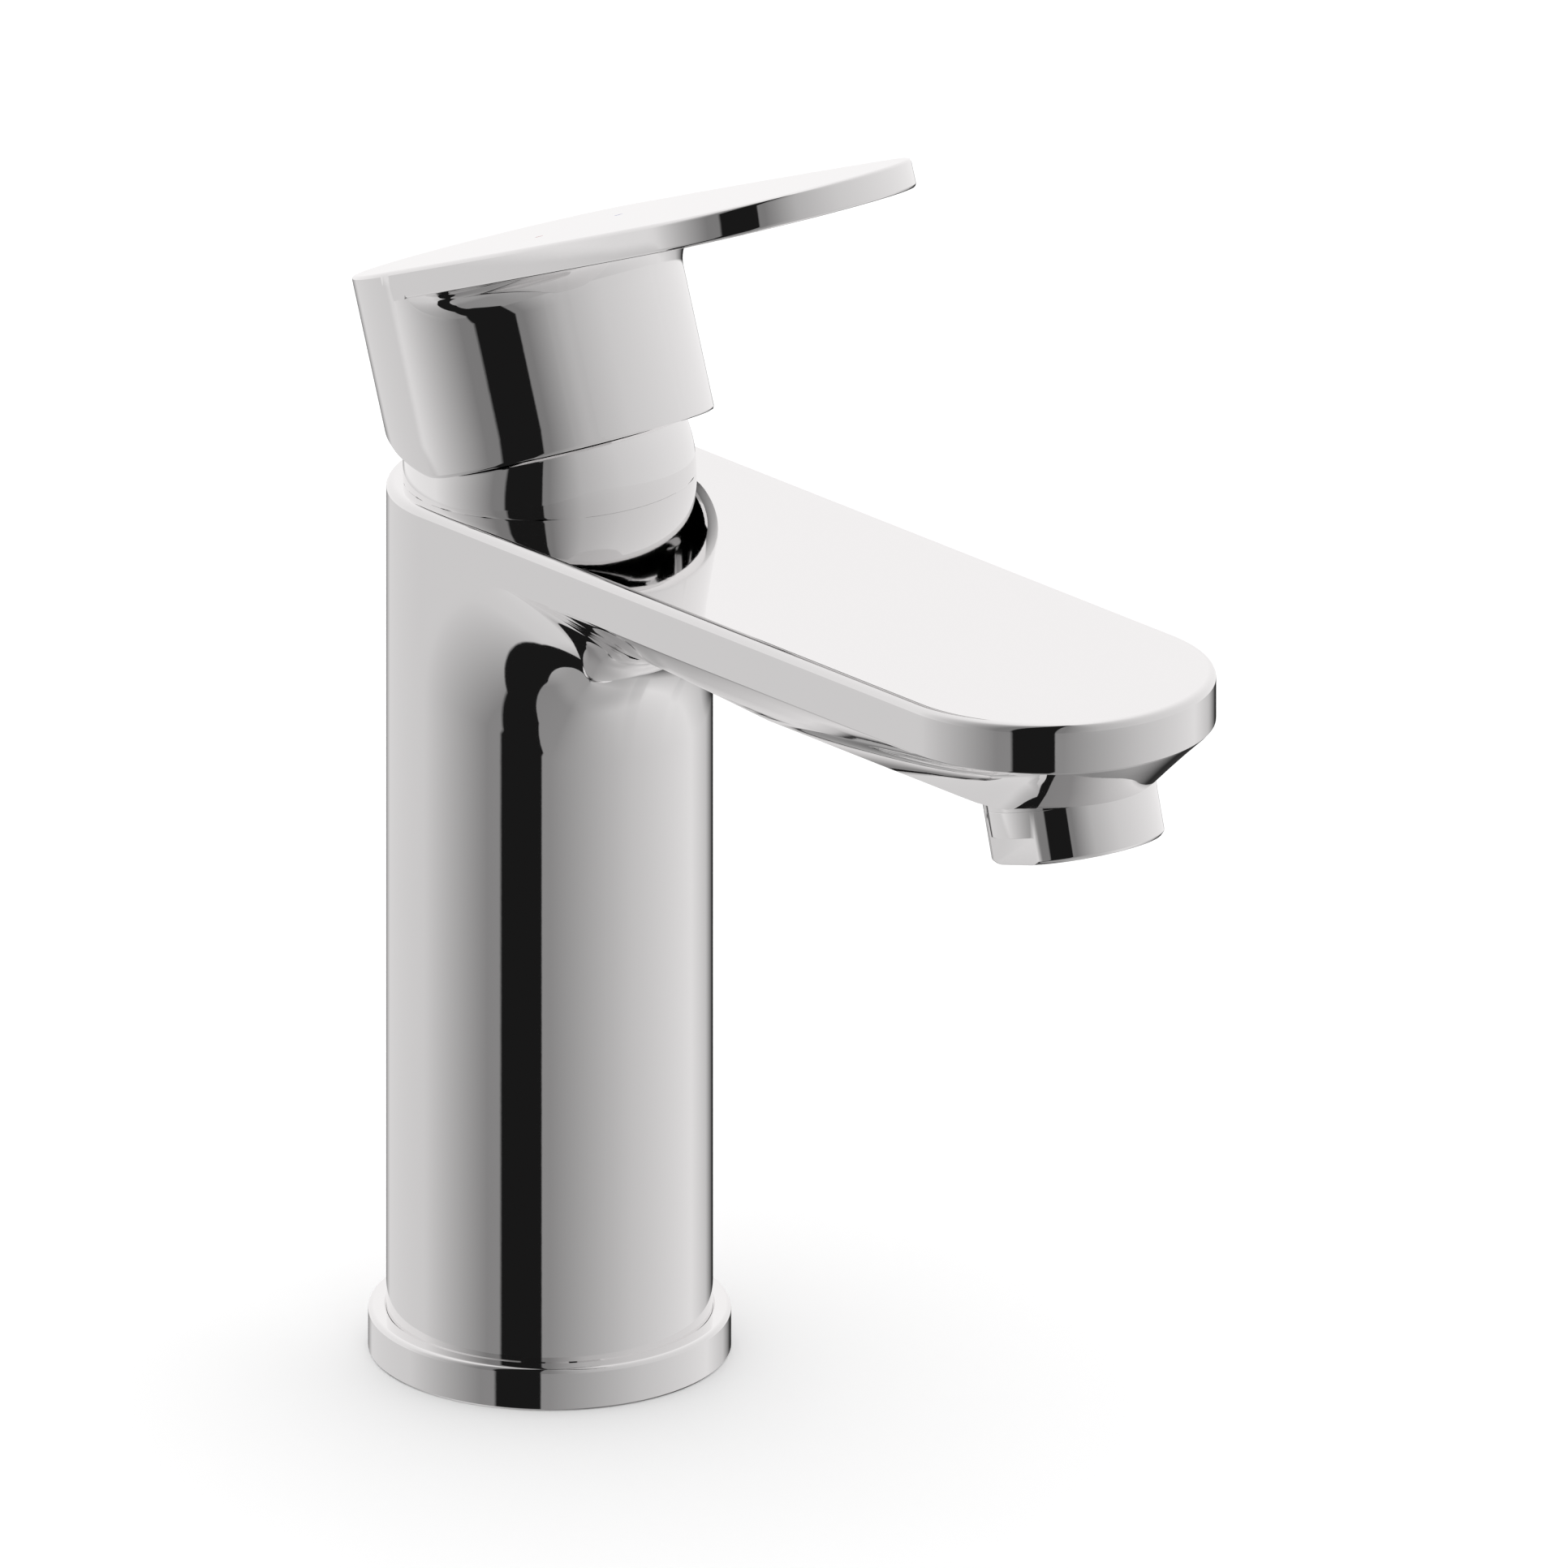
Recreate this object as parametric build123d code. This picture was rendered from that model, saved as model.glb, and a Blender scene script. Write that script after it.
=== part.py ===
"""Single-lever basin mixer: column with a rising slab spout, tilting and turning lever, ceramic cartridge.

Frame: millimetres, origin at the centre of the underside that rests on the basin deck, +Z up,
the spout points to -Y, +X is to the right of a person standing at the spout.
"""
from math import cos, radians, sin, sqrt, tan
import os

from build123d import *

os.makedirs("parts", exist_ok=True)

# Sizes of cutting blocks, clear of every piece
SIDE_CLEAR = 60.0
BACK_CLEAR = 60.0
FRONT_CLEAR = 160.0
TOP_CLEAR = 150.0
CUT = 1.0                     # how far a cutter runs past the face it opens

# Driving dimensions: body
COLUMN_R = 22.5
BASE_RING_R = 25.0
BASE_RING_HEIGHT = 6.2
BASE_RING_CHAMFER = 0.7
TOP_HEIGHT = 129.0            # height of the sloping top on the column's axis
TOP_RISE = 3.45               # degrees that the top rises towards the spout's tip
TIP_CENTRE = 114.1            # from the column's axis to the centre of the spout's rounded tip
TIP_LENGTH = 25.0             # long half-axis of the tip's half ellipse
BAND_HEIGHT = 7.2             # upright band round the spout's edge
TAPER_DROP = 9.0              # sloping sides below the band
TAPER_INSET = 9.2
TOP_EDGE_RADIUS = 1.2
NECK_RADIUS = 20.0            # hollow curve from the column into the spout's underside
NECK_SIDE = 0.5               # the neck's web stops this far inside the flat underside
NECK_SINK = 2.0               # and reaches this far up into the spout
NECK_BACK = 12.0

# Driving dimensions: cartridge bay, all on the column's axis
SEAT_Z = 106.0
BAY_R = 18.2
THREAD_R = 19.1
SHOULDER_Z = 122.0
PIVOT_Z = 137.0
DOME_R = 20.25
DOME_CENTRE_Z = 129.4
DOME_MOUTH_R = 14.5
DOME_WALL = 1.5

# Driving dimensions: lever, in its own tilted frame with the pivot as its origin
LEVER_TILT = 20.7             # degrees that the cap leans back at rest
PLATE_EXTRA_TILT = 2.5        # the plate rises a little more than the cap's square
CAP_R = 22.5
CAP_BORE_R = 20.6
CAP_HEIGHT = 25.6             # from the pivot to the top of the plate
CAP_RIM = -4.03               # lower rim below the pivot
RELIEF_SLOPE = 24.5           # degrees of the slanting cut behind the rim
RELIEF_DEPTH = -3.15
CAP_CEILING = 19.5
PLATE_THICKNESS = 4.1
PLATE_REACH = 84.1            # from the cap's axis to the plate's tip
PLATE_TIP_R = 20.8
PLATE_ROOT_R = 22.3
PLATE_SIDE_R = 440.0          # very flat bulge of the plate's sides
ARM_BELOW_PIVOT = 13.0        # from the pivot to the ball that drives the discs

# Driving dimensions: outlet
OUTLET_REACH = 119.5
OUTLET_TILT = 16.0            # degrees that the stream leans forward
OUTLET_TOP_Z = 119.2
OUTLET_BOSS_HEIGHT = 4.0
OUTLET_BORE_TOP = 4.5
SLEEVE_R = 12.05
SLEEVE_LENGTH = 7.6
NIPPLE_R = 10.5               # M21x1 outside thread
NIPPLE_BORE_R = 9.2
NIPPLE_LENGTH = 4.4

# Driving dimensions: connections in the underside
HOSE_THREAD_R = 5.0           # M10x1
HOSE_X = 9.0
HOSE_Y = -4.5
HOSE_DEPTH = 12.0
HOSE_PASSAGE_R = 3.8
STUD_THREAD_R = 4.0           # M8
STUD_Y = 11.0
STUD_DEPTH = 14.0

# Body casting: cored waterways
CASTING_WALL = 4.0
CORE_LOW = 17.0
CORE_HIGH = 96.0
DIVIDER = 3.5
CHANNEL_WIDTH = 24.0
CHANNEL_HEIGHT = 5.6
CHANNEL_DEPTH = 11.0          # from the sloping top to the middle of the channel
CHANNEL_START = 15.2          # in front of the column's axis, inside the cartridge bay

# Base seal
SEAL_GROOVE_OUT = 24.3
SEAL_GROOVE_IN = 23.0
SEAL_GROOVE_DEPTH = 1.6

# Cartridge: ports and seals
INLET_R = 3.2
INLET_X = 7.4
INLET_Y = 5.0
INLET_SEAL_WALL = 1.6
INLET_SEAL_HEIGHT = 1.4
OUTLET_PORT_R = 4.0
OUTLET_PORT_Y = 8.0
OUTLET_PORT_FLOOR = 2.0       # above the seat
OUTLET_PORT_ROOF = 1.5        # below the cartridge base's top
PORT_REDUCTION = 0.6          # the ports are smaller in the fixed disc
BASE_TOP_Z = 112.5
DISC_SEAL_OUT = 14.0
DISC_SEAL_IN = 13.0
DISC_SEAL_SINK = 1.0

# Cartridge: discs and their carriers
FIXED_DISC_R = 14.3
FIXED_DISC_Z = 112.5
MOVING_DISC_Z = 116.0
MOVING_DISC_R = 10.6
MIXING_POCKET_R = 7.6
MIXING_POCKET_DEPTH = 1.4
CARRIER_Z = 119.4
CARRIER_TOP_Z = 126.0
CARRIER_HALF_WIDTH = 9.8
CARRIER_MID_ARM_Y = 3.49      # the ball is this far forward of the axis when the discs are centred
CARRIER_REST_Y = CARRIER_MID_ARM_Y - ARM_BELOW_PIVOT * sin(radians(LEVER_TILT))
POCKET_Z = 121.0
BALL_R = 2.6
BALL_GAP = 0.28
BALL_SIDE_GAP = 0.1
SHANK_R = 2.0
SWIVEL_Z = 126.4
NECK_R = 15.6
NECK_BORE_R = 13.6
LUG_HALF_Y = 6.0
LUG_LIFT = 0.4
SLOT_LOW = (10.3, 5.0)         # front and back of the stem's slot below the lip
SLOT_HIGH = (6.2, 8.3)         # and through the spigot
TURNING_GAP = 0.08
LIP_Z = 134.0
LIP_TOP_Z = 135.5
LIP_BORE_R = 11.0
SPIGOT_TOP_Z = 141.0
STEM_SLOT_X = 4.0
STEM_HALF = 3.8
STEM_TOP = 17.8
STEM_LOW = 2.5
PIN_R = 1.5
PIN_HALF_LENGTH = 9.9

# Cartridge: housing, nut and cover
HOUSING_R = 16.4
GASKET_HEIGHT = 0.8
FLANGE_TOP_Z = 125.0
NUT_SKIRT_TOP_Z = 127.4
NUT_COLLAR_R = 17.5
NUT_COLLAR_TOP_Z = 131.4
NUT_HEX_R = 17.0
NUT_HEX_HEIGHT = 2.2
NUT_THREAD_GAP = 0.02
DOME_SEAL_Z = 129.4
DOME_SEAL_OUT = 18.6
DOME_SEAL_HEIGHT = 1.2
RIM_GAP = 0.1                 # round the flange in the body's thread

# Lever: stem boss, set screw and marks
BOSS_R = 7.5
BOSS_LOW = 9.0
WEB_HALF = 4.5
WEB_LOW = 12.9
SCREW_R = 2.5                 # M5
SCREW_HEIGHT = 15.6
SCREW_END = 11.8
SOCKET_R = 1.45
SOCKET_DEPTH = 2.5
PLUG_SINK = 4.5               # space between the screw and its plug
PLUG_R = 3.0
MARK_X = 6.83
MARK_Y = 17.1
MARK_LENGTH = 1.1
MARK_DEPTH = 0.3
MARK_HALF_WIDTH = 0.3

# Aerator
LIP_HEIGHT = 1.1
LIP_R = 9.6
FLAT_X = 11.0
FLAT_HEIGHT = 3.9
FLAT_TURN = 3.0               # degrees that the wrench flats are turned when screwed home
SLEEVE_CHAMFER = 0.5
THREAD_GAP = 0.01
FLANGE_GAP = 0.1
CUP_GAP = 0.7
CUP_WALL = 1.2
CUP_TOP = 2.0
CUP_ROOF = 0.8
SPRAY_HOLE_R = 0.6
SPRAY_HOLES = 12
SPRAY_CIRCLE = 5.6
REGULATOR_R = 4.6
REGULATOR_TOP = 3.4
REGULATOR_SLOT_R = 0.7
REGULATOR_CIRCLE = 3.4
REGULATOR_SLOTS = 6
SCREEN_HEIGHT = 0.8
SCREEN_BARS = 7
SCREEN_PITCH = 1.9
SCREEN_BAR_HALF = 0.2
SCREEN_RING_WALL = 0.7
SCREEN_GAP = 0.05

RUNNING_GAP = 0.05
LAPPED_GAP = 0.02
LEVER_PLACE = Location((0, 0, PIVOT_Z), (-LEVER_TILT, 0, 0))
OUTLET_PLACE = Location((0, -OUTLET_REACH, OUTLET_TOP_Z), (-OUTLET_TILT, 0, 0))


def write(shape, node):
    """Save one named piece."""
    if isinstance(shape, (list, ShapeList)):
        shape = Compound(children=list(shape))
    shape.label = node
    export_step(shape, "parts/" + node + ".step")


def rod(radius, low, high, x=0.0, y=0.0):
    """Upright cylinder between two heights."""
    return Pos(x, y, (low + high) / 2) * Cylinder(radius, high - low)


def ring(outer, inner, low, high, x=0.0, y=0.0):
    """Upright tube between two heights."""
    return rod(outer, low, high, x, y) - rod(inner, low - CUT, high + CUT, x, y)


def block(x0, x1, y0, y1, z0, z1):
    """Box between two corners."""
    return Pos((x0 + x1) / 2, (y0 + y1) / 2, (z0 + z1) / 2) * Box(x1 - x0, y1 - y0, z1 - z0)


def top_z(reach):
    """Height of the sloping top at a distance in front of the column's axis."""
    return TOP_HEIGHT + reach * tan(radians(TOP_RISE))


def slab_profile(low_offset, high_offset, back, front):
    """Side view of a layer of the spout, between two depths below the sloping top."""
    corners = [
        (-front, top_z(front) - low_offset),
        (-front, top_z(front) - high_offset),
        (back, top_z(-back) - high_offset),
        (back, top_z(-back) - low_offset),
    ]
    return extrude(Plane.YZ * make_face(Polyline(*corners, close=True)), SIDE_CLEAR, both=True)


def plan_outline():
    """Plan of the spout: round the column, straight sides and a half-ellipse tip."""
    straight = Pos(0, -TIP_CENTRE / 2) * Rectangle(2 * COLUMN_R, TIP_CENTRE)
    tip = Pos(0, -TIP_CENTRE) * Ellipse(COLUMN_R, TIP_LENGTH)
    return Circle(COLUMN_R) + straight + tip


def spout_solid():
    """Spout slab with its upright band and its tapered underside."""
    thickness = BAND_HEIGHT + TAPER_DROP
    prism = Pos(0, 0, SEAT_Z - thickness) * extrude(plan_outline(), TOP_CLEAR)
    slab = prism & slab_profile(thickness, 0, BACK_CLEAR, FRONT_CLEAR)
    bottom = slab.faces().sort_by(Axis.Z)[0]
    slab = chamfer(bottom.edges(), TAPER_INSET, TAPER_DROP, reference=bottom)
    top = slab.faces().sort_by(Axis.Z)[-1]
    return fillet(top.edges(), TOP_EDGE_RADIUS)


def column_solid():
    """Upright column, which ends inside the spout's band."""
    column = rod(COLUMN_R, 0, TOP_CLEAR)
    return column & slab_profile(2 * TOP_CLEAR, BAND_HEIGHT / 2, BACK_CLEAR, FRONT_CLEAR)


def neck_web():
    """Hollow-curved web where the column runs into the spout's underside."""
    thickness = BAND_HEIGHT + TAPER_DROP
    foot_z = top_z(COLUMN_R) - thickness - NECK_RADIUS
    far = COLUMN_R + NECK_RADIUS
    far_z = top_z(far) - thickness
    mid = NECK_RADIUS * (1 - cos(radians(45)))
    arc = ThreePointArc(
        (-COLUMN_R, foot_z), (-COLUMN_R - mid, far_z - mid), (-far, far_z)
    )
    high_z = far_z + NECK_SINK
    upper = [(-far, far_z), (-far, high_z), (-NECK_BACK, high_z)]
    edges = Polyline(*upper, (-NECK_BACK, foot_z), (-COLUMN_R, foot_z))
    half_width = COLUMN_R - TAPER_INSET - NECK_SIDE
    return extrude(Plane.YZ * make_face(arc + edges), half_width, both=True)


# ---------------------------------------------------------------- body

def waterways():
    """Everything that is bored or cored out of the body casting."""
    bay = rod(BAY_R, SEAT_Z, SHOULDER_Z + CUT) + rod(THREAD_R, SHOULDER_Z, TOP_CLEAR)
    core = rod(COLUMN_R - CASTING_WALL, CORE_LOW, CORE_HIGH)
    core -= block(-DIVIDER / 2, DIVIDER / 2, -COLUMN_R, COLUMN_R, CORE_LOW - CUT, CORE_HIGH + CUT)
    holes = bay + core
    for side in (-1, 1):
        holes += rod(HOSE_THREAD_R, -CUT, HOSE_DEPTH, side * HOSE_X, HOSE_Y)
        holes += rod(HOSE_PASSAGE_R, 0, CORE_LOW + CUT, side * HOSE_X, HOSE_Y)
        holes += rod(INLET_R, CORE_HIGH - CUT, SEAT_Z + CUT, side * INLET_X, INLET_Y)
    return holes + rod(STUD_THREAD_R, -CUT, STUD_DEPTH, 0, STUD_Y)


def spout_channel():
    """Flat waterway inside the spout, parallel to its top, and the outlet's bore."""
    centre_z = top_z(CHANNEL_START) - CHANNEL_DEPTH
    place = Location((0, -CHANNEL_START, centre_z), (-TOP_RISE, 0, 0))
    length = OUTLET_REACH + NIPPLE_BORE_R - CUT - CHANNEL_START
    channel = place * Pos(0, -length / 2, 0) * Box(CHANNEL_WIDTH, length, CHANNEL_HEIGHT)
    bore = OUTLET_PLACE * rod(NIPPLE_BORE_R, -NIPPLE_LENGTH - CUT, OUTLET_BORE_TOP)
    return channel + bore


def mixer_body():
    """Body casting: column, spout, outlet boss and nipple in one piece."""
    outer = spout_solid() + column_solid() + neck_web()
    outer -= OUTLET_PLACE * rod(SLEEVE_R + RUNNING_GAP, -SLEEVE_LENGTH, 0)
    boss = OUTLET_PLACE * rod(SLEEVE_R, 0, OUTLET_BOSS_HEIGHT)
    nipple = OUTLET_PLACE * rod(NIPPLE_R, -NIPPLE_LENGTH, CUT)
    return outer + boss + nipple - waterways() - spout_channel()


def base_ring():
    """Loose cover ring round the column's foot, with a groove for the deck seal."""
    outline = rod(BASE_RING_R, 0, BASE_RING_HEIGHT)
    outline -= rod(COLUMN_R, -CUT, BASE_RING_HEIGHT + CUT)
    top_circles = outline.edges().filter_by(GeomType.CIRCLE).group_by(Axis.Z)[-1]
    outline = chamfer(top_circles.sort_by(SortBy.RADIUS)[-1], BASE_RING_CHAMFER)
    return outline - ring(SEAL_GROOVE_OUT, SEAL_GROOVE_IN, -CUT, SEAL_GROOVE_DEPTH)


def base_seal():
    """Rubber ring in the base ring's groove, flush with the deck face."""
    return ring(SEAL_GROOVE_OUT, SEAL_GROOVE_IN, 0, SEAL_GROOVE_DEPTH)


# ---------------------------------------------------------------- cartridge

def cartridge_base():
    """Bottom of the cartridge: two inlets, one outlet that leaves to the front."""
    base = rod(BAY_R - RUNNING_GAP, SEAT_Z, BASE_TOP_Z)
    seal_top = SEAT_Z + INLET_SEAL_HEIGHT
    for side in (-1, 1):
        base -= rod(INLET_R, SEAT_Z - CUT, BASE_TOP_Z + CUT, side * INLET_X, INLET_Y)
        base -= rod(INLET_R + INLET_SEAL_WALL, SEAT_Z - CUT, seal_top, side * INLET_X, INLET_Y)
    floor = SEAT_Z + OUTLET_PORT_FLOOR
    roof = BASE_TOP_Z - OUTLET_PORT_ROOF
    base -= rod(OUTLET_PORT_R, floor, BASE_TOP_Z + CUT, 0, -OUTLET_PORT_Y)
    base -= block(-OUTLET_PORT_R, OUTLET_PORT_R, -COLUMN_R, -OUTLET_PORT_Y, floor, roof)
    return base - ring(DISC_SEAL_OUT, DISC_SEAL_IN, BASE_TOP_Z - DISC_SEAL_SINK, BASE_TOP_Z + CUT)


def inlet_seals():
    """Two rubber rings that seal the cartridge on its seat."""
    outer = INLET_R + INLET_SEAL_WALL
    high = SEAT_Z + INLET_SEAL_HEIGHT
    return [ring(outer, INLET_R, SEAT_Z, high, side * INLET_X, INLET_Y) for side in (-1, 1)]


def disc_seal():
    """Rubber ring between the cartridge base and the fixed disc."""
    return ring(DISC_SEAL_OUT, DISC_SEAL_IN, BASE_TOP_Z - DISC_SEAL_SINK, FIXED_DISC_Z)


def fixed_disc():
    """Ceramic disc with two inlet ports and one outlet port."""
    disc = rod(FIXED_DISC_R, FIXED_DISC_Z, MOVING_DISC_Z)
    low = FIXED_DISC_Z - CUT
    high = MOVING_DISC_Z + CUT
    for side in (-1, 1):
        disc -= rod(INLET_R - PORT_REDUCTION, low, high, side * INLET_X, INLET_Y)
    return disc - rod(OUTLET_PORT_R - PORT_REDUCTION, low, high, 0, -OUTLET_PORT_Y)


def moving_disc():
    """Ceramic disc whose underside pocket joins the inlets to the outlet."""
    low = MOVING_DISC_Z + LAPPED_GAP
    disc = rod(MOVING_DISC_R, low, CARRIER_Z, 0, CARRIER_REST_Y)
    return disc - rod(MIXING_POCKET_R, low - CUT, low + MIXING_POCKET_DEPTH, 0, CARRIER_REST_Y)


def disc_carrier():
    """Plastic carrier that slides across the cartridge and takes the moving disc with it."""
    body = rod(MOVING_DISC_R, CARRIER_Z, CARRIER_TOP_Z, 0, CARRIER_REST_Y)
    body = body & block(-CARRIER_HALF_WIDTH, CARRIER_HALF_WIDTH, -COLUMN_R, COLUMN_R, 0, TOP_CLEAR)
    ball_y = -ARM_BELOW_PIVOT * sin(radians(LEVER_TILT))
    half_x = BALL_R + BALL_SIDE_GAP
    half_y = BALL_R + BALL_GAP
    return body - block(-half_x, half_x, ball_y - half_y, ball_y + half_y, POCKET_Z, TOP_CLEAR)


def swivel_carrier():
    """Plastic turning part: holds the pivot pin, and two lugs guide the disc carrier."""
    barrel = rod(NECK_BORE_R - TURNING_GAP, SWIVEL_Z, LIP_Z - RIM_GAP)
    spigot = rod(LIP_BORE_R - TURNING_GAP, LIP_Z - CUT, SPIGOT_TOP_Z)
    lugs = rod(NECK_BORE_R - TURNING_GAP, CARRIER_Z + LUG_LIFT, SWIVEL_Z + CUT)
    lug_x = CARRIER_HALF_WIDTH + RIM_GAP
    lugs -= block(-lug_x, lug_x, -COLUMN_R, COLUMN_R, 0, TOP_CLEAR)
    lugs = lugs & block(-COLUMN_R, COLUMN_R, -LUG_HALF_Y, LUG_HALF_Y, 0, TOP_CLEAR)
    part = barrel + spigot + lugs
    part -= block(-STEM_SLOT_X, STEM_SLOT_X, -SLOT_LOW[0], SLOT_LOW[1], SEAT_Z, LIP_Z - CUT)
    part -= block(-STEM_SLOT_X, STEM_SLOT_X, -SLOT_HIGH[0], SLOT_HIGH[1], LIP_Z - 1.5 * CUT, TOP_CLEAR)
    return part - pin_cylinder(PIN_R, SIDE_CLEAR)


def pin_cylinder(radius, length):
    """Cylinder along the lever's hinge axis."""
    return Pos(0, 0, PIVOT_Z) * Rot(0, 90, 0) * Cylinder(radius, length)


def pivot_pin():
    """Steel pin that the stem tilts on, pressed into the swivel carrier."""
    return pin_cylinder(PIN_R, 2 * PIN_HALF_LENGTH)


def stem():
    """Square stem with its pin hole, and the ball that drives the disc carrier."""
    square = block(-STEM_HALF, STEM_HALF, -STEM_HALF, STEM_HALF, STEM_LOW, STEM_TOP)
    knuckle = Rot(0, 90, 0) * Cylinder(STEM_HALF, 2 * STEM_HALF)
    shank = rod(SHANK_R, -ARM_BELOW_PIVOT, STEM_LOW)
    ball = Pos(0, 0, -ARM_BELOW_PIVOT) * Sphere(BALL_R)
    hole = Rot(0, 90, 0) * Cylinder(PIN_R + RUNNING_GAP, SIDE_CLEAR)
    return LEVER_PLACE * (square + knuckle + shank + ball - hole)


def cartridge_housing():
    """Plastic shell of the cartridge, clamped by its flange."""
    shell = rod(HOUSING_R, BASE_TOP_Z, SHOULDER_Z + GASKET_HEIGHT)
    shell += rod(THREAD_R - RIM_GAP, SHOULDER_Z + GASKET_HEIGHT, FLANGE_TOP_Z)
    shell += rod(NECK_R, FLANGE_TOP_Z - CUT, LIP_TOP_Z)
    shell -= rod(FIXED_DISC_R + RUNNING_GAP, BASE_TOP_Z - CUT, CARRIER_TOP_Z + RIM_GAP)
    shell -= rod(NECK_BORE_R, SWIVEL_Z - CUT, LIP_Z)
    shell -= rod(LIP_BORE_R, LIP_Z - CUT, LIP_TOP_Z + CUT)
    return shell


def housing_gasket():
    """Rubber ring between the body's shoulder and the cartridge's flange."""
    return ring(THREAD_R - RIM_GAP, BAY_R + RUNNING_GAP, SHOULDER_Z, SHOULDER_Z + GASKET_HEIGHT)


def cartridge_nut():
    """Brass nut that clamps the cartridge: threaded skirt, collar and hexagon."""
    skirt = rod(THREAD_R - NUT_THREAD_GAP, FLANGE_TOP_Z, NUT_SKIRT_TOP_Z)
    collar = rod(NUT_COLLAR_R, FLANGE_TOP_Z, NUT_COLLAR_TOP_Z)
    hexagon = extrude(Pos(0, 0, NUT_COLLAR_TOP_Z) * RegularPolygon(NUT_HEX_R, 6), NUT_HEX_HEIGHT)
    return skirt + collar + hexagon - rod(NECK_R + RUNNING_GAP, FLANGE_TOP_Z - CUT, TOP_CLEAR)


def dome_seal():
    """Rubber ring on the nut's collar that holds the cover by friction."""
    return ring(DOME_SEAL_OUT, NUT_COLLAR_R, DOME_SEAL_Z, DOME_SEAL_Z + DOME_SEAL_HEIGHT)


def cartridge_dome():
    """Chromed cover over the cartridge, a slice of a hollow ball."""
    centre = Pos(0, 0, DOME_CENTRE_Z)
    shell = centre * Sphere(DOME_R) - centre * Sphere(DOME_R - DOME_WALL)
    shell = shell & slab_profile(0, -SIDE_CLEAR, BACK_CLEAR, SIDE_CLEAR)
    return shell - rod(DOME_MOUTH_R, DOME_CENTRE_Z, TOP_CLEAR + DOME_CENTRE_Z)


# ---------------------------------------------------------------- lever

def plate_outline():
    """Outline of the lever's plate: two round ends joined by slightly bulging sides."""
    span = PLATE_REACH - PLATE_TIP_R
    root = PLATE_SIDE_R - PLATE_ROOT_R
    tip = PLATE_SIDE_R - PLATE_TIP_R
    centre_y = (tip * tip - root * root - span * span) / (2 * span)
    centre_x = sqrt(root * root - centre_y * centre_y)
    root_point = Vector(-centre_x, centre_y) + Vector(centre_x, -centre_y).normalized() * PLATE_SIDE_R
    tip_point = Vector(-centre_x, centre_y) + Vector(centre_x, -span - centre_y).normalized() * PLATE_SIDE_R
    bulge = Vector(-centre_x + PLATE_SIDE_R, centre_y)
    right = ThreePointArc(root_point, bulge, tip_point)
    tip_arc = ThreePointArc(tip_point, (0, -PLATE_REACH), (-tip_point.X, tip_point.Y))
    left = ThreePointArc((-tip_point.X, tip_point.Y), (-bulge.X, bulge.Y), (-root_point.X, root_point.Y))
    root_arc = ThreePointArc((-root_point.X, root_point.Y), (0, PLATE_ROOT_R), root_point)
    return make_face(right + tip_arc + left + root_arc)


PLATE_PLACE = LEVER_PLACE * Location((0, 0, CAP_HEIGHT), (-PLATE_EXTRA_TILT, 0, 0))


def above_plate():
    """Large block that lies above the plate's top."""
    return PLATE_PLACE * block(-SIDE_CLEAR, SIDE_CLEAR, -TOP_CLEAR, BACK_CLEAR, 0, SIDE_CLEAR)


def cap_cutters():
    """Space below the cap's rim and below the slanting relief at its back."""
    below = block(-SIDE_CLEAR, SIDE_CLEAR, -BACK_CLEAR, BACK_CLEAR, -SIDE_CLEAR, 0)
    rim = Location((0, 0, CAP_RIM), (-PLATE_EXTRA_TILT, 0, 0)) * below
    relief = Location((0, 0, RELIEF_DEPTH), (RELIEF_SLOPE, 0, 0)) * below
    return LEVER_PLACE * (rim + relief)


def lever_handle():
    """Cap and plate in one casting, with the boss that holds the stem."""
    cap = LEVER_PLACE * rod(CAP_R, -CAP_R, 2 * CAP_R) - above_plate()
    plate = PLATE_PLACE * extrude(plate_outline(), -PLATE_THICKNESS)
    handle = cap + plate
    handle -= LEVER_PLACE * rod(CAP_BORE_R, -SIDE_CLEAR, CAP_CEILING)
    handle -= cap_cutters()
    boss = rod(BOSS_R, BOSS_LOW, CAP_CEILING + CUT)
    web = block(-WEB_HALF, WEB_HALF, 0, CAP_BORE_R + CUT / 2, WEB_LOW, CAP_CEILING + CUT)
    handle += LEVER_PLACE * (boss + web)
    handle -= LEVER_PLACE * block(-STEM_HALF, STEM_HALF, -STEM_HALF, STEM_HALF, 0, STEM_TOP)
    handle -= LEVER_PLACE * screw_axis(SCREW_R, 0, SCREW_END + CUT)
    handle -= LEVER_PLACE * screw_axis(PLUG_R, SCREW_END, 2 * CAP_R)
    for mark in (hot_mark(), cold_mark()):
        handle -= mark
    return handle


def screw_axis(radius, start, end):
    """Cylinder towards the back along the set screw's axis, in the lever's frame."""
    return Pos(0, (start + end) / 2, SCREW_HEIGHT) * Rot(90, 0, 0) * Cylinder(radius, end - start)


def handle_screw():
    """Set screw that clamps the lever on the stem, with a hexagon socket."""
    screw = screw_axis(SCREW_R, STEM_HALF, SCREW_END)
    socket = extrude(Plane.XZ * RegularPolygon(SOCKET_R, 6), SOCKET_DEPTH, both=True)
    return LEVER_PLACE * (screw - Pos(0, SCREW_END, SCREW_HEIGHT) * socket)


def screw_plug():
    """Small plug that closes the set screw's hole flush with the cap."""
    plug = screw_axis(PLUG_R, SCREW_END + PLUG_SINK, 2 * CAP_R)
    return LEVER_PLACE * (plug & rod(CAP_R, -CAP_R, 2 * CAP_R))


def mark(side):
    """Thin enamel inlay in the plate's top, which shows a temperature side."""
    inlay = Box(MARK_LENGTH, 2 * MARK_HALF_WIDTH, MARK_DEPTH)
    return PLATE_PLACE * Pos(side * MARK_X, -MARK_Y, -MARK_DEPTH / 2) * inlay


def hot_mark():
    """Red inlay, on the left of a person at the spout."""
    return mark(-1)


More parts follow.
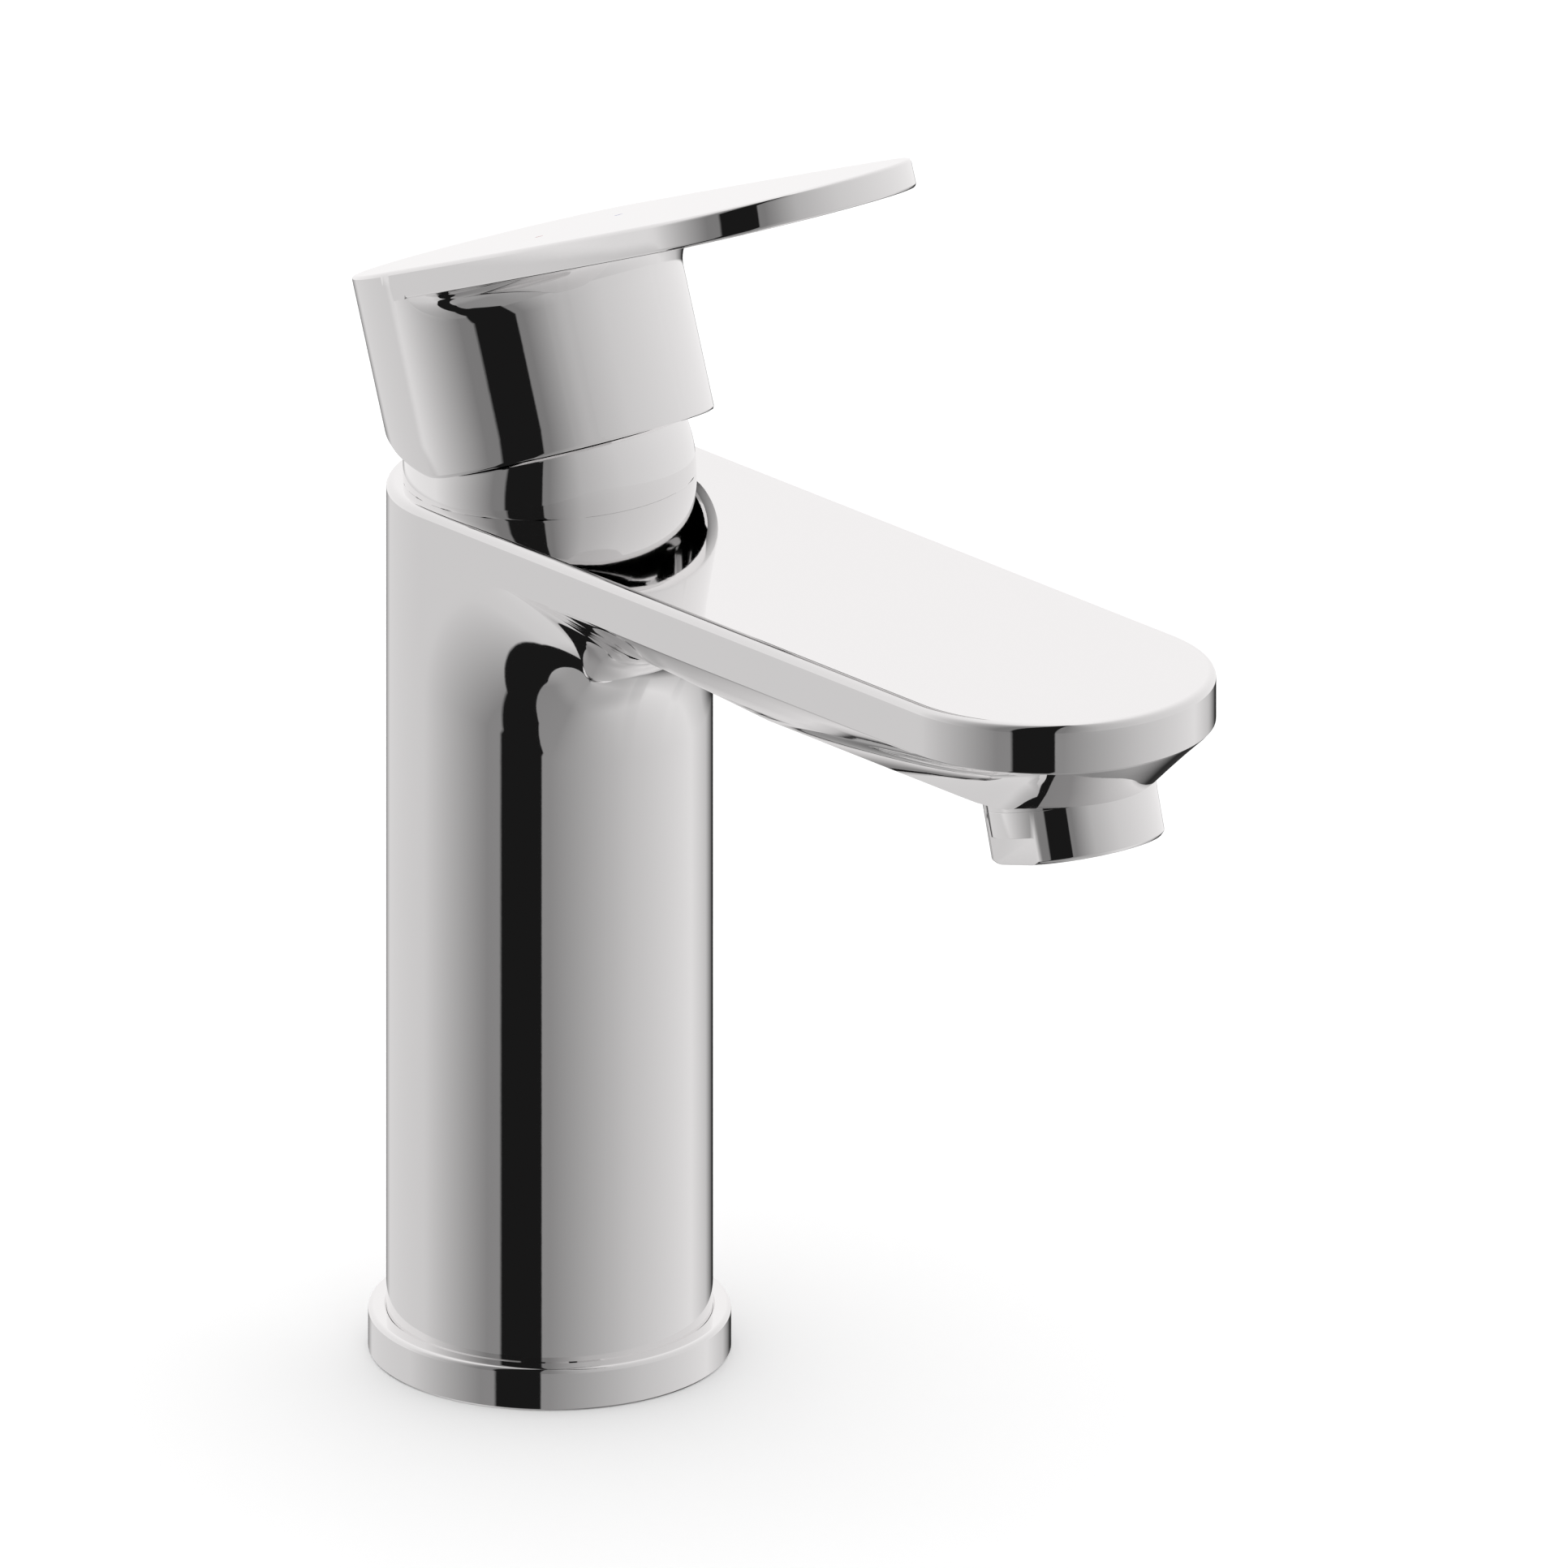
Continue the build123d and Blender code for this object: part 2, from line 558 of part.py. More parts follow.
def cold_mark():
    """Blue inlay, on the right."""
    return mark(1)


# ---------------------------------------------------------------- outlet

def aerator_housing():
    """Sleeve with an inside thread, two wrench flats and a lip that keeps the insert."""
    sleeve = rod(SLEEVE_R, -SLEEVE_LENGTH, 0)
    low_rim = sleeve.edges().filter_by(GeomType.CIRCLE).group_by(Axis.Z)[0]
    sleeve = chamfer(low_rim, SLEEVE_CHAMFER)
    sleeve -= rod(NIPPLE_R + THREAD_GAP, -SLEEVE_LENGTH + LIP_HEIGHT, CUT)
    sleeve -= rod(LIP_R, -SLEEVE_LENGTH - CUT, 0)
    flat_top = -SLEEVE_LENGTH + FLAT_HEIGHT
    flat = block(FLAT_X, 2 * SLEEVE_R, -SLEEVE_R, SLEEVE_R, -SLEEVE_LENGTH - CUT, flat_top)
    for turn in (FLAT_TURN, 180 + FLAT_TURN):
        sleeve -= Rot(0, 0, turn) * flat
    return OUTLET_PLACE * sleeve


def aerator_gasket():
    """Rubber washer between the nipple and the insert's flange."""
    low = -NIPPLE_LENGTH - GASKET_HEIGHT
    inner = NIPPLE_BORE_R - CUP_GAP + FLANGE_GAP
    return OUTLET_PLACE * ring(NIPPLE_R - FLANGE_GAP, inner, low, -NIPPLE_LENGTH)


def aerator_insert():
    """Plastic insert: flange, cup and a perforated plate that breaks the stream."""
    flange_top = -NIPPLE_LENGTH - GASKET_HEIGHT
    low = -SLEEVE_LENGTH + LIP_HEIGHT
    cup_r = NIPPLE_BORE_R - CUP_GAP
    insert = rod(NIPPLE_R - FLANGE_GAP, low, flange_top)
    insert += rod(cup_r, low, CUP_TOP)
    insert -= rod(cup_r - CUP_WALL, low - CUT, CUP_ROOF)
    for index in range(SPRAY_HOLES):
        angle = radians(360 / SPRAY_HOLES * index)
        insert -= rod(SPRAY_HOLE_R, 0, CUP_TOP + CUT, SPRAY_CIRCLE * cos(angle), SPRAY_CIRCLE * sin(angle))
    return OUTLET_PLACE * insert


def flow_regulator():
    """Small star-shaped flow limiter on top of the insert."""
    disc = rod(REGULATOR_R, CUP_TOP, REGULATOR_TOP)
    for index in range(REGULATOR_SLOTS):
        angle = radians(360 / REGULATOR_SLOTS * index)
        x = REGULATOR_CIRCLE * cos(angle)
        y = REGULATOR_CIRCLE * sin(angle)
        disc -= rod(REGULATOR_SLOT_R, CUP_ROOF, REGULATOR_TOP + CUT, x, y)
    return OUTLET_PLACE * disc


def aerator_screen():
    """Outlet grid of crossing bars in a thin ring."""
    low = -SLEEVE_LENGTH + LIP_HEIGHT
    high = low + SCREEN_HEIGHT
    radius = NIPPLE_BORE_R - CUP_GAP - CUP_WALL - SCREEN_GAP
    screen = ring(radius, radius - SCREEN_RING_WALL, low, high)
    field = rod(radius - SCREEN_RING_WALL / 2, low, high)
    for index in range(SCREEN_BARS):
        place = (index - (SCREEN_BARS - 1) / 2) * SCREEN_PITCH
        left = place - SCREEN_BAR_HALF
        right = place + SCREEN_BAR_HALF
        bars = block(left, right, -radius, radius, low, high)
        bars += block(-radius, radius, left, right, low, high)
        screen += bars & field
    return OUTLET_PLACE * screen


PIECES = [
    mixer_body, base_ring, base_seal,
    cartridge_base, inlet_seals, disc_seal, fixed_disc, moving_disc, disc_carrier,
    swivel_carrier, pivot_pin, stem, cartridge_housing, housing_gasket, cartridge_nut,
    dome_seal, cartridge_dome,
    lever_handle, handle_screw, screw_plug, hot_mark, cold_mark,
    aerator_housing, aerator_gasket, aerator_insert, flow_regulator, aerator_screen,
]

for piece in PIECES:
    write(piece(), piece.__name__)
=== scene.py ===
from math import cos, pi, radians, sin, sqrt, tan

import bpy
import numpy as np
from mathutils import Matrix, Vector


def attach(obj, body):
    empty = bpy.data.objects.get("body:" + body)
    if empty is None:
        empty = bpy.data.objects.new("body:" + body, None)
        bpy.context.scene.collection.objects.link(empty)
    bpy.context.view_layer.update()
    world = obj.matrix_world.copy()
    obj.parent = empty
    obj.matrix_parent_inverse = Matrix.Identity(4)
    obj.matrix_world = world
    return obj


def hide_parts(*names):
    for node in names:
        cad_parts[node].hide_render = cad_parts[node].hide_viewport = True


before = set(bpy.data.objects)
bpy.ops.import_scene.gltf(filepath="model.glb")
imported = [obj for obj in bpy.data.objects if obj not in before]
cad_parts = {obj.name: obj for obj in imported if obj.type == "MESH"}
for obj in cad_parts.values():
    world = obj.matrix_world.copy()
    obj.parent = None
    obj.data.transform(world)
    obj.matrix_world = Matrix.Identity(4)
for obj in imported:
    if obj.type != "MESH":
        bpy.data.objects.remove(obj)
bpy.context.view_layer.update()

bl_info = {
    "name": "Basin Mixer",
    "version": (1, 0, 0),
    "blender": (4, 5, 0),
    "location": "View3D > Sidebar > Mixer",
    "description": "Chromed skins and finishes for a single-lever basin mixer",
    "category": "Add Mesh",
}

MM = 0.001
MERGE = 2e-6
TURN_STEPS = 160


def length(name, description, millimetres):
    """A size in the sidebar, stored in metres."""
    return bpy.props.FloatProperty(
        name=name, description=description, default=millimetres * MM, unit="LENGTH", precision=5
    )


def tilt(name, description, degrees):
    """An angle in the sidebar, stored in radians."""
    return bpy.props.FloatProperty(
        name=name, description=description, default=radians(degrees), unit="ROTATION", precision=4
    )


def tone(name, description, colour):
    """A colour in the sidebar."""
    return bpy.props.FloatVectorProperty(
        name=name, description=description, default=colour, subtype="COLOR", min=0.0, max=1.0
    )


# ---------------------------------------------------------------- sizes that a user would change

class BodySizes(bpy.types.PropertyGroup):
    """Column, spout and base ring."""
    column_r: length("Column radius", "Radius of the upright column", 22.5)
    top_height: length("Top height", "Height of the sloping top on the column's axis", 129.0)
    top_rise: tilt("Top rise", "Rise of the top towards the spout's tip", 3.45)
    tip_centre: length("Tip centre", "From the column's axis to the centre of the rounded tip", 114.1)
    tip_length: length("Tip length", "Long half-axis of the tip's half ellipse", 25.0)
    band: length("Band height", "Upright band round the spout's edge", 7.2)
    drop: length("Taper drop", "Height of the sloping sides below the band", 9.0)
    inset: length("Taper inset", "Width of the sloping sides in plan", 9.2)
    edge: length("Top edge", "Rounding of the top's edge", 1.2)
    crease: length("Crease", "Softening of the crease between band and taper", 0.35)
    neck: length("Neck radius", "Hollow curve from the column into the spout's underside", 20.0)
    ring_r: length("Ring radius", "Outside radius of the base ring", 25.0)
    ring_h: length("Ring height", "Height of the base ring", 6.2)
    ring_edge: length("Ring edge", "Rounding of the ring's top edge", 0.7)


class LeverSizes(bpy.types.PropertyGroup):
    """Cap, plate and dome."""
    pivot_z: length("Pivot height", "Height of the lever's pivot", 137.0)
    lean: tilt("Cap lean", "Backward lean of the cap at rest", 20.7)
    plate_tilt: tilt("Plate tilt", "Extra rise of the plate over the cap's square", 2.5)
    cap_r: length("Cap radius", "Outside radius of the cap", 22.5)
    bore_r: length("Cap bore", "Inside radius of the cap", 20.6)
    plate_z: length("Plate height", "From the pivot to the plate's top", 25.6)
    rim_z: length("Rim height", "Lower rim of the cap from the pivot", -4.03)
    relief_z: length("Relief height", "Start of the slanting cut behind the rim", -3.15)
    relief: tilt("Relief slope", "Slope of the cut behind the rim", 24.5)
    ceiling: length("Ceiling", "Height of the cap's ceiling over the pivot", 19.5)
    thickness: length("Plate thickness", "Thickness of the plate", 4.1)
    reach: length("Plate reach", "From the cap's axis to the plate's tip", 84.1)
    tip_r: length("Tip radius", "Radius of the plate's tip", 20.8)
    root_r: length("Root radius", "Radius of the plate's root", 22.3)
    side_r: length("Side radius", "Radius of the very flat sides", 440.0)
    throat: length("Throat", "Hollow curve between the cap and the plate's underside", 5.5)
    edge: length("Plate edge", "Rounding of the plate's edges", 0.55)
    dome_r: length("Dome radius", "Radius of the dome's ball", 20.25)
    dome_z: length("Dome centre", "Height of the dome's centre", 129.4)
    dome_mouth: length("Dome mouth", "Radius of the hole in the dome", 14.5)
    dome_wall: length("Dome wall", "Thickness of the dome", 1.5)


class OutletSizes(bpy.types.PropertyGroup):
    """Aerator at the spout's tip."""
    reach: length("Outlet reach", "From the column's axis to the outlet", 119.5)
    height: length("Outlet height", "Height of the sleeve's upper face", 119.2)
    lean: tilt("Outlet lean", "Forward lean of the stream", 16.0)
    sleeve_r: length("Sleeve radius", "Outside radius of the aerator's sleeve", 12.05)


class Tones(bpy.types.PropertyGroup):
    """Colours of the finishes."""
    chrome: tone("Chrome", "Plated metal", (0.93, 0.925, 0.925))
    red: tone("Hot mark", "Red enamel", (0.45, 0.06, 0.06))
    blue: tone("Cold mark", "Blue enamel", (0.06, 0.08, 0.4))
    rubber: tone("Rubber", "Seals", (0.018, 0.018, 0.019))
    pale: tone("Pale plastic", "Aerator and cartridge", (0.62, 0.62, 0.6))
    brass: tone("Brass", "Nut and stem", (0.72, 0.52, 0.25))
    floor: tone("Floor", "Floor and backdrop", (0.86, 0.86, 0.86))


# ---------------------------------------------------------------- modelling helpers

def deselect():
    """Nothing selected, object mode."""
    if bpy.context.object and bpy.context.object.mode != "OBJECT":
        bpy.ops.object.mode_set(mode="OBJECT")
    bpy.ops.object.select_all(action="DESELECT")


def pick(piece):
    """Only this piece selected and active."""
    deselect()
    piece.select_set(True)
    bpy.context.view_layer.objects.active = piece


def named(name):
    """The object that an operator has just added, under its new name."""
    piece = bpy.context.object
    piece.name = name
    piece.data.name = name
    return piece


def modify(piece, kind, **settings):
    """Add a modifier, set it and apply it."""
    pick(piece)
    modifier = piece.modifiers.new(kind, kind)
    for key, value in settings.items():
        setattr(modifier, key, value)
    bpy.ops.object.modifier_apply(modifier=modifier.name)


def clean(piece):
    """Merge doubles and turn the faces outwards."""
    pick(piece)
    bpy.ops.object.mode_set(mode="EDIT")
    bpy.ops.mesh.select_all(action="SELECT")
    bpy.ops.mesh.remove_doubles(threshold=MERGE)
    bpy.ops.mesh.dissolve_degenerate(threshold=MERGE)
    bpy.ops.mesh.normals_make_consistent(inside=False)
    bpy.ops.object.mode_set(mode="OBJECT")


def shade(piece, degrees=32.0):
    """Smooth shading with hard edges kept, and flat faces that stay flat."""
    pick(piece)
    bpy.ops.object.shade_smooth_by_angle(angle=radians(degrees))
    modify(piece, "WEIGHTED_NORMAL", keep_sharp=True, weight=50)


def soften(piece, width, degrees=35.0, segments=3):
    """Small rounding on every hard edge."""
    modify(
        piece, "BEVEL", width=width * MM, segments=segments, limit_method="ANGLE",
        angle_limit=radians(degrees), harden_normals=False, use_clamp_overlap=True,
    )


def combine(piece, tool, operation):
    """Boolean with a tool that is then thrown away."""
    modify(piece, "BOOLEAN", object=tool, operation=operation, solver="EXACT")
    bpy.data.objects.remove(tool, do_unlink=True)


def peg(radius, low, high, place=None, sides=128):
    """Round tool between two heights, in metres, laid in a place."""
    deselect()
    bpy.ops.mesh.primitive_cylinder_add(
        vertices=sides, radius=radius, depth=high - low, location=(0, 0, (low + high) / 2)
    )
    bpy.ops.object.transform_apply(location=True)
    piece = bpy.context.object
    if place is not None:
        piece.data.transform(place)
    return piece


def brick(corner, opposite, place=None):
    """Square tool between two corners, in metres, laid in a place."""
    deselect()
    middle = [(a + b) / 2 for a, b in zip(corner, opposite)]
    size = [abs(b - a) for a, b in zip(corner, opposite)]
    bpy.ops.mesh.primitive_cube_add(size=1, location=middle)
    bpy.context.object.scale = size
    bpy.ops.object.transform_apply(location=True, scale=True)
    piece = bpy.context.object
    if place is not None:
        piece.data.transform(place)
    return piece


def turned(name, profile, place=None, steps=TURN_STEPS):
    """Closed profile of (radius, height) points in millimetres, spun round the upright axis."""
    deselect()
    bpy.ops.mesh.primitive_circle_add(vertices=len(profile), radius=1.0)
    piece = named(name)
    for vertex, (radius, height) in zip(piece.data.vertices, profile):
        vertex.co = (radius * MM, 0, height * MM)
    bpy.ops.object.mode_set(mode="EDIT")
    bpy.ops.mesh.select_all(action="SELECT")
    bpy.ops.mesh.spin(steps=steps, angle=2 * pi, center=(0, 0, 0), axis=(0, 0, 1))
    bpy.ops.object.mode_set(mode="OBJECT")
    clean(piece)
    if place is not None:
        piece.data.transform(place)
    return piece


def skin(name, rows, place=None):
    """Grid whose rows run once round an axis, closed along its seam and at its poles."""
    rows = np.concatenate([rows, rows[:, :1]], axis=1)
    up, around = rows.shape[:2]
    deselect()
    bpy.ops.mesh.primitive_grid_add(x_subdivisions=around - 1, y_subdivisions=up - 1, size=1.0)
    piece = named(name)
    if len(piece.data.vertices) != up * around:
        raise RuntimeError(f"{name}: grid has {len(piece.data.vertices)} points, not {up * around}")
    piece.data.vertices.foreach_set("co", rows.reshape(-1).astype(np.float32))
    piece.data.update()
    clean(piece)
    if place is not None:
        piece.data.transform(place)
    return piece


def refined(name, node, width=0.12, degrees=35.0):
    """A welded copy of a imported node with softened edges."""
    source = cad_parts[node]
    deselect()
    source.hide_set(False)
    source.select_set(True)
    bpy.context.view_layer.objects.active = source
    bpy.ops.object.duplicate(linked=False)
    piece = named(name)
    pick(piece)
    piece.parent = None
    bpy.ops.object.mode_set(mode="EDIT")
    bpy.ops.mesh.select_all(action="SELECT")
    bpy.ops.mesh.remove_doubles(threshold=MERGE)
    bpy.ops.mesh.customdata_custom_splitnormals_clear()
    bpy.ops.mesh.dissolve_limited(angle_limit=radians(0.4))
    bpy.ops.object.mode_set(mode="OBJECT")
    if width:
        soften(piece, width, degrees, 2)
    shade(piece, degrees)
    return piece


def settle(piece, body, slot, material, *nodes):
    """Body, replaced nodes and finish of a new piece; the slot argument is not used."""
    piece.data.materials.clear()
    piece.data.materials.append(material)
    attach(piece, body)
    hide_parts(*nodes)
    return piece


# ---------------------------------------------------------------- outlines and skins

class Outline:
    """Plan outline that is symmetric about the forward axis, given from rear to tip."""

    def __init__(self, points, normals):
        self.points = np.array(points)
        self.normals = np.array(normals)

    def reach(self, inset, angles):
        """Distance from the axis to the outline moved inwards, along each angle."""
        moved = self.points - self.normals * np.asarray(inset)
        polar = np.arctan2(moved[:, 0], moved[:, 1])
        order = np.argsort(polar)
        return np.interp(np.abs(angles), polar[order], np.hypot(moved[:, 0], moved[:, 1])[order])


def arc_points(centre, radii, start, end, count=500):
    """Points and normals on an ellipse's arc; angles in degrees from the forward axis."""
    turn = np.radians(np.linspace(start, end, count))
    points = np.stack([centre[0] + radii[0] * np.sin(turn), centre[1] + radii[1] * np.cos(turn)], axis=1)
    normals = np.stack([np.sin(turn) / radii[0], np.cos(turn) / radii[1]], axis=1)
    normals /= np.linalg.norm(normals, axis=1)[:, None]
    return points, normals


def spout_outline(size):
    """Round the column, straight along the side, half ellipse at the tip."""
    rear = arc_points((0, 0), (size.column_r, size.column_r), 180, 90)
    run = np.linspace(0, size.tip_centre, 500)
    side = (np.stack([np.full_like(run, size.column_r), run], axis=1), np.tile([1.0, 0.0], (500, 1)))
    tip = arc_points((0, size.tip_centre), (size.column_r, size.tip_length), 90, 0)
    return Outline(*[np.concatenate([rear[k], side[k], tip[k]]) for k in (0, 1)])


def plate_outline(size):
    """Two round ends joined by slightly bulging sides."""
    span = size.reach - size.tip_r
    root = size.side_r - size.root_r
    tip = size.side_r - size.tip_r
    forward = (span * span + root * root - tip * tip) / (2 * span)
    across = sqrt(root * root - forward * forward)
    centre = (-across, forward)
    start = 90 - np.degrees(np.arctan2(-forward, across))
    end = 90 - np.degrees(np.arctan2(span - forward, across))
    rear = arc_points((0, 0), (size.root_r, size.root_r), 180, start)
    side = arc_points(centre, (size.side_r, size.side_r), start, end)
    front = arc_points((0, span), (size.tip_r, size.tip_r), end, 0)
    return Outline(*[np.concatenate([rear[k], side[k], front[k]]) for k in (0, 1)])


def sample_angles(outline, tip_start, near, tip_count, side_count, near_step, rear_step):
    """Angles round the axis: dense at the tip and near the column, sparse along the sides."""
    polar = np.arctan2(outline.points[:, 0], outline.points[:, 1])
    tip = polar[outline.points[:, 1] >= tip_start]
    tip = tip[np.linspace(0, len(tip) - 1, tip_count).astype(int)][::-1]
    side_d = np.linspace(tip_start, near, side_count)[1:]
    half_width = outline.points[:, 0].max()
    side = np.arctan2(half_width, side_d)
    close = np.arange(side[-1] + radians(near_step), radians(90), radians(near_step))
    rear = np.arange(radians(90), radians(180) - 1e-6, radians(rear_step))
    half = np.concatenate([tip, side, close, rear])
    return np.concatenate([half, [pi], -half[:0:-1]])


def hollow_curve(radius, span, height):
    """Hollow curve of a wall into an underside: start height, and how far out it touches."""
    out = np.linspace(0, 1, 400)[:, None] * np.minimum(radius, span)[None, :]
    room = height(out) - np.sqrt(np.maximum(radius ** 2 - (radius - out) ** 2, 0))
    best = room.argmin(axis=0)
    index = np.arange(len(span))
    return room[best, index], out[best, index]


def place_rows(rows, angles):
    """Rows of (radius, height) as points; the forward axis is -Y."""
    placed = []
    for radius, height in rows:
        radius = np.broadcast_to(radius, angles.shape)
        height = np.broadcast_to(height, angles.shape)
        placed.append(np.stack([radius * np.sin(angles), -radius * np.cos(angles), height], axis=1))
    return np.array(placed)


NECK_ROWS = 40
# Softness of the change from flat to sloping underside, and where it has faded out
NECK_SOFT = 0.003
SOFT_END = 0.070
SOFT_FADE = 0.025
# Bay under the lever: a round mouth in the top, then a narrower well below a step
BAY_R = 0.0191
BAY_EDGE = 0.0002
BAY_STEP = 0.122
WELL_R = 0.0182
WELL_FLOOR = 0.106
FOOT_R = 0.012


def rows_along(forward, targets, start, end):
    """Distances from the axis at which each ray has come far enough forward."""
    share = (1 - np.cos(pi * np.linspace(0, 1, 600))) / 2
    found = np.zeros_like(targets)
    travelled = np.array([forward(start + (end - start) * part) for part in share])
    for ray in range(targets.shape[1]):
        found[:, ray] = np.interp(targets[:, ray], travelled[:, ray], start + (end[ray] - start) * share)
    return found


def body_skin(size):
    """Column, neck, spout and bay in one closed skin."""
    outline = spout_outline(size)
    angles = sample_angles(outline, size.tip_centre, 0.075, 48, 8, 0.5, 2.0)
    turn = np.cos(angles)
    slope = tan(size.top_rise)

    def top(radius):
        return size.top_height + radius * turn * slope

    rim = outline.reach(0, angles)
    base = outline.reach(size.inset, angles)
    deep = size.band + size.drop

    def under(radius):
        """Underside: flat, then sloping up to the crease, with a soft change between the two."""
        flat = top(radius) - deep
        sloping = flat + size.drop * (radius - base) / np.maximum(rim - base, 1e-9)
        soft = NECK_SOFT * np.clip((SOFT_END - radius) / SOFT_FADE, 0.02, 1)
        roof = 0.5 * (flat + sloping + np.sqrt((flat - sloping) ** 2 + soft ** 2))
        inside = size.neck - np.minimum(forward(radius), size.neck)
        return roof - size.neck + np.sqrt(np.maximum(size.neck ** 2 - inside ** 2, 0))

    def forward(radius):
        """How far a point lies in front of the column's wall, straight along the spout."""
        across = np.minimum(radius * np.abs(np.sin(angles)), size.column_r)
        wall = np.sqrt(np.maximum(size.column_r ** 2 - across ** 2, 0))
        return np.maximum(radius * turn - wall, 0)

    start = under(size.column_r)
    rows = [(0.0, 0.0), (FOOT_R, 0.0), (size.column_r, 0.0)]
    for part in np.linspace(0, 1, 10)[1:]:
        rows.append((size.column_r, start * part))
    sweep = np.arccos(1 - np.minimum(forward(rim), size.neck) / size.neck)
    targets = size.neck * (1 - np.cos(sweep[None, :] * np.linspace(0, 1, NECK_ROWS)[1:, None]))
    near = rows_along(forward, targets, size.column_r, rim)
    near[-1] = np.where(forward(rim) <= size.neck, rim, near[-1])
    for radius in near:
        rows.append((radius, under(radius)))
    contact = near[-1]
    flat_end = np.maximum(contact, base)
    for part in np.linspace(0, 1, 5)[1:]:
        radius = contact + (flat_end - contact) * part
        rows.append((radius, under(radius)))
    near_rim = np.maximum(outline.reach(size.crease, angles), flat_end)
    for part in np.linspace(0, 1, 5)[1:]:
        radius = flat_end + (near_rim - flat_end) * part
        rows.append((radius, under(radius)))
    for side in (0.25, 0.05):
        radius = np.maximum(outline.reach(size.crease * side, angles), near_rim)
        rows.append((radius, under(rim) + size.crease * (0.25 - side)))
    lowest = under(rim) + size.crease
    highest = top(rim) - size.edge
    for part in (0.0, 0.5, 1.0):
        rows.append((rim, lowest + (highest - lowest) * part))
    for part in np.radians(np.linspace(0, 90, 8)[1:]):
        radius = outline.reach(size.edge * (1 - cos(part)), angles)
        rows.append((radius, top(radius) - size.edge * (1 - sin(part))))
    inner = outline.reach(size.edge, angles)
    for part in (0.25, 0.5, 0.75, 1.0):
        radius = inner + (BAY_R + BAY_EDGE - inner) * part
        rows.append((radius, top(radius)))
    rows.append((BAY_R, top(BAY_R) - BAY_EDGE))
    rows += [(BAY_R, BAY_STEP), (WELL_R, BAY_STEP), (WELL_R, WELL_FLOOR), (0.0, WELL_FLOOR)]
    return skin("body_casting", place_rows(rows, angles))


RELIEF_SOFT = 0.0008
CEILING_EDGE = 0.0003
RIM_EDGE = 0.0005
# Point halfway round the rim's outer edge: in from the cap, and up from the rim
RIM_IN = 0.00015
RIM_UP = 0.00012


def lever_skin(size, place):
    """Cap and plate in one closed skin, in the lever's own frame."""
    outline = plate_outline(size)
    angles = sample_angles(outline, size.reach - size.tip_r, 0.045, 40, 6, 0.8, 2.0)
    turn = np.cos(angles)
    rise = tan(size.plate_tilt)

    def top(radius):
        return size.plate_z + radius * turn * rise

    def reach(inset):
        return np.maximum(outline.reach(inset, angles), size.cap_r - inset)

    rim = reach(0)

    def low(radius):
        first = size.rim_z + radius * turn * rise
        second = size.relief_z - radius * turn * tan(size.relief)
        return 0.5 * (first + second + np.sqrt((first - second) ** 2 + RELIEF_SOFT ** 2))

    def under(radius):
        return top(radius) - size.thickness

    span = np.maximum(rim - size.edge - size.cap_r, 0)
    start, out = hollow_curve(size.throat, span, lambda step: under(size.cap_r + step))
    bore = size.bore_r
    cap = size.cap_r
    rows = [
        (0.0, size.ceiling), (bore * 0.5, size.ceiling),
        (bore - CEILING_EDGE, size.ceiling), (bore, size.ceiling - CEILING_EDGE),
    ]
    for part in (0.3, 0.6, 0.9):
        rows.append((bore, size.ceiling + (low(bore) - size.ceiling) * part))
    rows.append((bore, low(bore) + CEILING_EDGE))
    rows.append((bore + CEILING_EDGE, low(bore + CEILING_EDGE)))
    rows.append((cap - RIM_EDGE, low(cap - RIM_EDGE)))
    rows.append((cap - RIM_IN, low(cap) + RIM_UP))
    rows.append((cap, low(cap) + RIM_EDGE))
    for part in np.linspace(0, 1, 7)[1:]:
        rows.append((cap, low(cap) + RIM_EDGE + (start - low(cap) - RIM_EDGE) * part))
    sweep = np.arccos(np.clip(1 - out / size.throat, -1, 1))
    for part in np.linspace(0, 1, 17)[1:]:
        radius = cap + size.throat * (1 - np.cos(sweep * part))
        rows.append((radius, start + size.throat * np.sin(sweep * part)))
    contact = cap + out
    end = np.maximum(contact, reach(size.edge))
    for part in np.linspace(0, 1, 5)[1:]:
        radius = contact + (end - contact) * part
        rows.append((radius, under(radius)))
    for part in np.radians(np.linspace(0, 90, 5)[1:]):
        radius = np.maximum(reach(size.edge * (1 - sin(part))), end)
        lift = size.edge * (1 - cos(part)) * np.where(span > 1e-5, 1.0, 0.0)
        rows.append((radius, under(radius) + lift))
    rows.append((rim, top(rim) - size.thickness * 0.5))
    rows.append((rim, top(rim) - size.edge))
    for part in np.radians(np.linspace(0, 90, 6)[1:]):
        radius = reach(size.edge * (1 - cos(part)))
        rows.append((radius, top(radius) - size.edge * (1 - sin(part))))
    inner = reach(size.edge)
    for part in (0.25, 0.5, 0.75, 0.95):
        rows.append((inner * (1 - part), top(inner * (1 - part))))
    rows.append((0.0, size.plate_z))
    return skin("lever_casting", place_rows(rows, angles), place)


# ---------------------------------------------------------------- finishes

